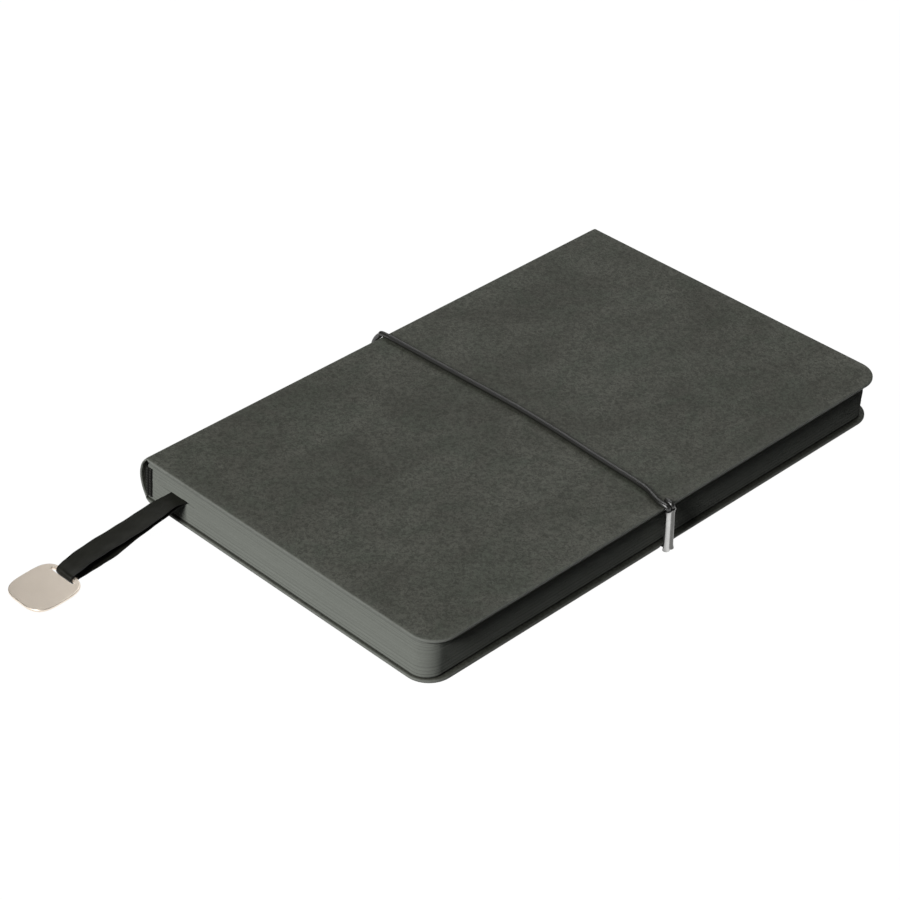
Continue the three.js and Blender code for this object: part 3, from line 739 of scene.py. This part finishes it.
PAGE_X1 = COVER_WIDTH - 2.4
PAGE_Y0, PAGE_Y1 = TAIL_Y, HEAD_Y
BLOCK_Z0, BLOCK_Z1 = 1.95, 14.39
FLOOR_Z, CEILING_Z = 9.01, 9.71          # the opening between the sections that the ribbon lies in
LEAVES = 8
LEAF_GAP = 0.004
SECTIONS, LOWER_SECTIONS = 10, 6
PAGE_CORNER_RADIUS, PAGE_SPINE_RADIUS = 6.5, 0.25
STAIN_DEPTH = 0.9
POCKET_SLOPES = (5.0, 10.2, 21.0, 27.0)  # across, where the pocket starts to open, is open, and shuts again
POCKET_CUTS = (5.0, 6.5, 8.0, 9.0, 10.2, 21.0, 22.5, 24.0, 25.5, 27.0)
SWELL = 0.33                             # how far the leaves close up beside the pocket
PASTEDOWN_X0, PASTEDOWN_THICKNESS = 2.2, 0.2


def leaf_loops(x0, z0, z1, trim):
    """A leaf's loops: its face, the stained rim and the bevelled edge, below and above."""
    fore, tail, head = trim
    outline = (x0, PAGE_X1 - fore, PAGE_Y0 + tail, PAGE_Y1 - head)
    ring, small, stained = (cover_ring(*outline, inset, PAGE_CORNER_RADIUS, PAGE_SPINE_RADIUS)
                            for inset in (0, 0.03, STAIN_DEPTH))
    bevel = (z1 - z0) * 0.25
    levels = ((stained, z0), (small, z0), (ring, z0 + bevel),
              (ring, z1 - bevel), (small, z1), (stained, z1))
    return [[(x, y, z) for x, y in r] for r, z in levels]


def closed_up(x, z):
    """Away from the ribbon the leaves swell a little, until the opening is shut."""
    away = 1 - smooth(x, *POCKET_SLOPES[:2]) * (1 - smooth(x, *POCKET_SLOPES[2:]))
    if z < (FLOOR_Z + CEILING_Z) / 2:
        return z + SWELL * away * (z - BLOCK_Z0) / (FLOOR_Z - BLOCK_Z0)
    return z - SWELL * away * (BLOCK_Z1 - z) / (BLOCK_Z1 - CEILING_Z)


def sheets_piece(name, plates, body, replaced, face):
    """Thin sheets, given as (x0, z0, z1, trim, shade), as one piece with stained cut edges."""
    made = bmesh.new()
    leaf = made.verts.layers.float.new("leaf")
    for x0, z0, z1, trim, shade in plates:
        points, faces = loft(leaf_loops(x0, z0, z1, trim))
        verts = [made.verts.new(p) for p in points]
        for v in verts:
            v[leaf] = shade
        for k, f in enumerate(faces):
            made.faces.new([verts[i] for i in f]).material_index = 0 if k >= len(faces) - 2 else 1
    if BLOCK_Z0 < plates[0][1] < BLOCK_Z1:
        cut_through(made, 0, POCKET_CUTS)
    for v in made.verts:
        x, y, z = v.co
        inside = BLOCK_Z0 < z < BLOCK_Z1
        v.co = at(x, leaned(y, z), closed_up(x, z) if inside else z)
    mesh = bpy.data.meshes.new(name)
    made.to_mesh(mesh)
    made.free()
    sheets = finish_piece(mesh, [face, PAGE_EDGE], 60)
    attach(sheets, body)
    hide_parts(replaced)


def section_piece(k, node, body):
    """One sewn section as its leaves, each trimmed and stained a little differently."""
    low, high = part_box(node)
    z0, z1 = low.z / MM, high.z / MM
    x0 = low.x / MM + SHIFT_X
    chance = random.Random(1700 + k)
    whole = (chance.uniform(-0.03, 0.06), chance.uniform(-0.02, 0.03), chance.uniform(-0.05, 0.10))
    pitch = (z1 - z0) / LEAVES
    plates = []
    for leaf in range(LEAVES):
        trim = [w + chance.uniform(-0.02, 0.02) for w in whole]
        base = z0 + leaf * pitch
        shade = max(0.0, chance.gauss(0.06, 0.07)) + (0.10 if leaf in (0, LEAVES - 1) else 0)
        if k == 1:
            # painted shade: the first leaves' edges are darkened towards the seam above the back cover,
            # which lies in shade
            shade = max(shade, 0.9 - 0.35 * leaf)
        plates.append((x0 + 0.02 * (leaf % 2), base + LEAF_GAP, base + pitch - LEAF_GAP, trim, shade))
    sheets_piece(f"{node}_leaves", plates, body, node, PAPER)


for k in range(1, SECTIONS + 1):
    section_piece(k, f"section_{k:02d}", "back_half" if k <= LOWER_SECTIONS else f"upper_section_{k:02d}")

for name, body in (("back_flyleaf", "back_half"), ("front_flyleaf", "flyleaf")):
    low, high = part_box(name)
    # the back flyleaf's edges are painted near-black: painted shade in the seam above the back cover
    trim, shade = ((0.4, 0.25, 0.4), 1.0) if body == "back_half" else ((0.04, 0.02, 0.03), 0.2)
    plate = (low.x / MM + SHIFT_X, low.z / MM, high.z / MM, trim, shade)
    sheets_piece(f"{name}_sheet", [plate], body, name, ENDPAPER)

# the pastedowns were cut with the pages, so they have their outline and their stained edges; the back one's
# edges are painted near-black, a painted shade for the seam above the back cover
for name, body, z0, trim, shade in (
    ("back_pastedown", "back_half", COVER_THICKNESS - 0.02, (0.5, 0.35, 0.5), 1.0),
    ("front_pastedown", "front_cover", THICKNESS - COVER_THICKNESS - 0.18, (0.02, 0.0, 0.02), 0.15),
):
    plate = (PASTEDOWN_X0, z0, z0 + PASTEDOWN_THICKNESS, trim, shade)
    sheets_piece(f"{name}_sheet", [plate], body, name, ENDPAPER)


# ---- back of the block: lining, headband and tailband --------------------------------------------

def back_x(z):
    """The rounded back of the sewn block."""
    return -0.4 + 1.3 * ((z - 8.25) / 6.65) ** 2


LINING_Z0, LINING_Z1 = 2.8, 13.7
LINING_NEAR, LINING_FAR = 0.05, 0.22     # how far behind the block's back the lining lies


def lining_piece():
    """The gauze lining, which follows the rounded back from tail to head."""
    steps = 30
    ys = [PAGE_Y0 + 0.2, PAGE_Y0 + 0.4, *(PAGE_Y0 + (PAGE_Y1 - PAGE_Y0) * k / 12 for k in range(1, 12)),
          PAGE_Y1 - 0.4, PAGE_Y1 - 0.2]
    zs = [LINING_Z0 + (LINING_Z1 - LINING_Z0) * k / steps for k in range(steps + 1)]
    loops = []
    for y in ys:
        ring = [(back_x(z) - LINING_NEAR, leaned(y, z), z) for z in zs]
        ring += [(back_x(z) - LINING_FAR - 0.02 * noise.noise(Vector((0.3 * y, z, 3.7))),
                  leaned(y, z), z) for z in reversed(zs)]
        loops.append(ring)
    points, faces = capped_strip(loops, steps)
    return piece("spine_lining_gauze", points, faces, [GAUZE], 45)


BAND_X0, BAND_X1 = -0.1, 2.9
BAND_REACH = 0.52


def band_piece(name, y, outward):
    """A stitched band on the page ends: two columns of thread beads side by side."""
    per_bead = 6
    beads = 11
    across = 16
    rows = beads * per_bead
    loops, crest_highlights = [], []
    for k in range(rows + 1):
        z = LINING_Z0 + 0.1 + (LINING_Z1 - LINING_Z0 - 0.2) * k / rows
        end = min(1, 0.45 + 6 * k / rows, 0.45 + 6 * (1 - k / rows))
        outer, shine = [], []
        for i in range(across + 1):
            u = i / across
            phase = k / per_bead + 0.5 * (u > 0.5) + 0.35 * u
            ridge = abs(math.sin(TAU * u)) ** 0.55
            bead = 0.35 + 0.65 * abs(math.sin(math.pi * phase)) ** 0.7
            bulge = BAND_REACH * (0.22 + 0.78 * ridge * bead) * end
            outer.append((BAND_X0 + (BAND_X1 - BAND_X0) * u, y + outward * bulge))
            # shine is the painted highlight on the bead crests
            shine.append(max(0.0, ridge * bead - 0.6) * 2.0)
        inner = [(x, y) for x, _ in reversed(outer)]
        loops.append([(x, leaned(py, z), z) for x, py in outer + inner])
        crest_highlights += shine + [0.0] * len(inner)
    points, faces = loft(loops)
    return piece(name, points, faces, [THREAD], 60, attributes=[("ridge", crest_highlights)])


lining = lining_piece()
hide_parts("spine_lining")
tailband = band_piece("tailband_threads", PAGE_Y0 - 0.15, -1)
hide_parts("tailband")
headband = band_piece("headband_threads", PAGE_Y1 + 0.15, 1)
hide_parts("headband")
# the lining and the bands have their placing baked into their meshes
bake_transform(lining)
for band in (tailband, headband):
    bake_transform(band)


# ---- closure: braided elastic and its crimp clip -------------------------------------------------

CLIP_X, CLIP_Y = 135.5, 101.5
CLIP_BOTTOM_Z, CLIP_TOP_Z = 0.55, 15.9
BARREL_RADIUS, BARREL_OFFSET, BARREL_WALL = 0.98, 0.93, 0.2
FLARE_RADIUS, FLARE_LENGTH = 1.25, 1.6
CORD_RADIUS = 0.95
CORD_REST_Z = THICKNESS + CORD_RADIUS + 0.03
TAIL_BARREL_Y, HEAD_BARREL_Y = CLIP_Y - BARREL_OFFSET, CLIP_Y + BARREL_OFFSET
TAIL_STRAND_Y, HEAD_STRAND_Y = CLIP_Y - CORD_RADIUS - 0.03, CLIP_Y + CORD_RADIUS + 0.03


def elastic_piece():
    """One length of braided elastic, from one barrel of the clip round the book to the other."""
    round_size = (CORD_RADIUS, CORD_RADIUS)
    over_spine = []
    for k, degrees in enumerate((150, 130, 110, 90, 70, 45, 27)):
        x, z = on_spine(math.radians(degrees), -CORD_RADIUS - 0.35)
        over_spine.append(((x, 104.2 - 0.2 * k, z), *round_size))
    flat = (1.9, 0.23)
    neck = (0.5, 0.5)
    route = [
        ((CLIP_X, TAIL_BARREL_Y, 0.2), 0.60, 0.60),
        *(((CLIP_X, TAIL_BARREL_Y, z), *neck) for z in (1.0, 8.0, 14.4)),
        ((CLIP_X, TAIL_BARREL_Y - 0.02, 15.6), 0.72, 0.72),
        ((CLIP_X, TAIL_STRAND_Y, 16.5), 0.92, 0.92),
        ((135.25, 100.4, 17.05), *round_size),
        ((134.5, 100.3, 17.4), *round_size),
        ((133.3, 100.2, 17.5), *round_size),
        ((132.0, 100.25, CORD_REST_Z), *round_size),
        *(((x, y, CORD_REST_Z), *round_size) for x, y in (
            (129, 101.1), (125, 102.4), (120, 103.1), (111, 103.6), (102, 104.0), (83, 105.1), (64, 105.7),
            (40, 105.3), (20, 104.8), (5, 104.5), (0.6, 104.4))),
        ((-1.3, 104.3, 17.2), *round_size),
        *over_spine,
        ((-0.95, 103.0, 0.75), 1.35, 0.5),
        ((0.6, 103.0, 0.3), 1.8, 0.25),
        *(((x, 103.0, 0.25), *flat) for x in (3, 30, 60, 90, 120, 131.5)),
        ((133.6, 102.9, 0.27), 1.8, 0.24),
        ((CLIP_X - 0.5, 102.6, 0.42), 1.0, 0.36),
        ((CLIP_X, HEAD_BARREL_Y, 1.2), 0.5, 0.48),
        *(((CLIP_X, HEAD_BARREL_Y, z), *neck) for z in (8.0, 14.4)),
        ((CLIP_X, HEAD_BARREL_Y + 0.02, 15.6), 0.72, 0.72),
        ((CLIP_X, HEAD_STRAND_Y, 16.5), 0.92, 0.92),
        ((135.25, HEAD_STRAND_Y, 17.05), *round_size),
        ((134.5, HEAD_STRAND_Y + 0.05, 17.4), *round_size),
        ((133.3, HEAD_STRAND_Y + 0.15, 17.5), 0.94, 0.94),
        ((132.5, HEAD_STRAND_Y + 0.25, 17.46), 0.8, 0.8),
        ((132.2, HEAD_STRAND_Y + 0.28, 17.44), 0.5, 0.5),
    ]
    keys = [Vector(p) for p, _, _ in route]
    line = catmull(keys, 0.36)
    # carry the section sizes along the curve by nearest pass through the keys
    sizes, k = [], 0
    for p in line:
        while k < len(keys) - 2 and (p - keys[k + 1]).dot(keys[k + 1] - keys[k]) > 0:
            k += 1
        span = (keys[k + 1] - keys[k]).length
        t = min(max((p - keys[k]).dot(keys[k + 1] - keys[k]) / span ** 2, 0), 1)
        sizes.append([route[k][i] + (route[k + 1][i] - route[k][i]) * t for i in (1, 2)])
    sides = 20
    run = lengths(line)
    y_axis = Vector((0, 1, 0))
    loops = []
    for p, along, (wide, high), s in zip(line, tangents(line), sizes, run):
        side = (y_axis - along * along.y).normalized()
        up = along.cross(side)
        ring = []
        for i in range(sides):
            a = TAU * i / sides
            turn = TAU * s / BRAID_PITCH
            yarn = math.sin(turn + BRAID_YARNS * a) * math.sin(turn - BRAID_YARNS * a)
            r = 0.985 + 0.012 * yarn
            ring.append(p + side * (wide * r * math.cos(a)) + up * (high * r * math.sin(a)))
        loops.append(ring)
    points, faces = loft(loops)
    uvs = []
    for k in range(len(loops) - 1):
        for i in range(sides):
            here, there = run[k] / BRAID_PITCH, run[k + 1] / BRAID_PITCH
            uvs.append([(here, i / sides), (here, (i + 1) / sides),
                        (there, (i + 1) / sides), (there, i / sides)])
    uvs += [[(0, i / sides) for i in range(sides)]] * 2
    points = [(p.x, p.y, max(p.z, 0.02)) for p in points]
    return piece("elastic_braided_cord", points, faces, [ELASTIC], 70, uvs=("braid", uvs))


def clip_piece():
    """A crimp of one strip of metal rolled into two barrels side by side, flared at both ends."""
    steps = 64

    def contour(z, wall):
        end = min(z - CLIP_BOTTOM_Z, CLIP_TOP_Z - z)
        flare = max(0.0, 1 - end / FLARE_LENGTH) ** 1.5
        r = BARREL_RADIUS + (FLARE_RADIUS - BARREL_RADIUS) * flare - wall
        ring = []
        for k in range(steps):
            a = TAU * (k + 0.5) / steps
            s = abs(math.sin(a))
            inside = r * r - (BARREL_OFFSET * math.cos(a)) ** 2
            reach = BARREL_OFFSET * s + (math.sqrt(inside) if inside > 0 else 0)
            # the strip is rolled in to a seam between the barrels, deeper on the outer side
            seam = (0.42 if math.cos(a) > 0 else 0.55) + 0.2 * s
            reach = max(reach, seam - wall)
            ring.append((CLIP_X + reach * math.cos(a), CLIP_Y + reach * math.sin(a), z))
        return ring

    zs = [CLIP_BOTTOM_Z, 0.62, 0.8, 1.1, 1.5, 2.2, 4.2, 6.0, 8.2,
          10.4, 12.2, 14.2, 14.9, 15.3, 15.65, 15.83, CLIP_TOP_Z]
    loops = [contour(z, 0.0) for z in zs] + [contour(z, BARREL_WALL) for z in reversed(zs)]
    points, faces = closed_loft(loops)
    return piece("crimp_clip_barrels", points, faces, [NICKEL], 40)


elastic = elastic_piece()
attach(elastic, "closure")
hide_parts("elastic_cord")
clip = clip_piece()
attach(clip, "closure")
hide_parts("crimp_clip")


# ---- the boards stay as they are, inside the leatherette -----------------------------------------

for name in ("front_cover_board", "back_cover_board"):
    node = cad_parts[name]
    node.data.materials.clear()
    node.data.materials.append(BOARD)


# ---- floor, light and world ----------------------------------------------------------------------

floor_mesh = bpy.data.meshes.new("floor")
FLOOR_REACH = 3.0
FLOOR_DROP = 0.0002
floor_corners = [(-FLOOR_REACH, -FLOOR_REACH, 0), (FLOOR_REACH, -FLOOR_REACH, 0),
                 (FLOOR_REACH, FLOOR_REACH, 0), (-FLOOR_REACH, FLOOR_REACH, 0)]
floor_mesh.from_pydata(floor_corners, [], [(0, 1, 2, 3)])
floor = bpy.data.objects.new("floor", floor_mesh)
bpy.context.collection.objects.link(floor)
floor.location.z = -FLOOR_DROP
floor_shader = Shader("pale_floor", Specular_IOR_Level=0.0, Emission_Strength=1.0)
floor_shader.bsdf.inputs["Emission Color"].default_value = (1, 1, 1, 1)
floor_mesh.materials.append(floor_shader.finish((0.02, 0.02, 0.02, 1), 1.0))
floor.visible_diffuse = False


def area_light(name, place, aim, size, power):
    """A rectangular soft light at `place`, turned towards `aim`, in metres and watts."""
    data = bpy.data.lights.new(name, "AREA")
    data.shape = "RECTANGLE"
    data.size, data.size_y = size
    data.energy = power
    light = bpy.data.objects.new(name, data)
    bpy.context.collection.objects.link(light)
    light.location = place
    light.rotation_mode = "QUATERNION"
    light.rotation_quaternion = (Vector(place) - Vector(aim)).to_track_quat("Z", "Y")


area_light("tail_softbox", (0.18, -2.0, 1.5), (0, -0.05, 0.01), (1.1, 0.8), 62)
area_light("overhead", (-0.3, 0.75, 1.35), (0, 0.08, 0.01), (0.9, 0.9), 8.3)
area_light("far_sheen", (-0.85, 0.82, 0.84), (0, 0, 0.01), (0.9, 0.7), 2.9)

world = bpy.data.worlds.new("studio")
bpy.context.scene.world = world
world.use_nodes = True
background = world.node_tree.nodes["Background"]
background.inputs["Color"].default_value = (1, 1, 1, 1)
background.inputs["Strength"].default_value = 0.03
bpy.context.scene.view_settings.view_transform = "Standard"
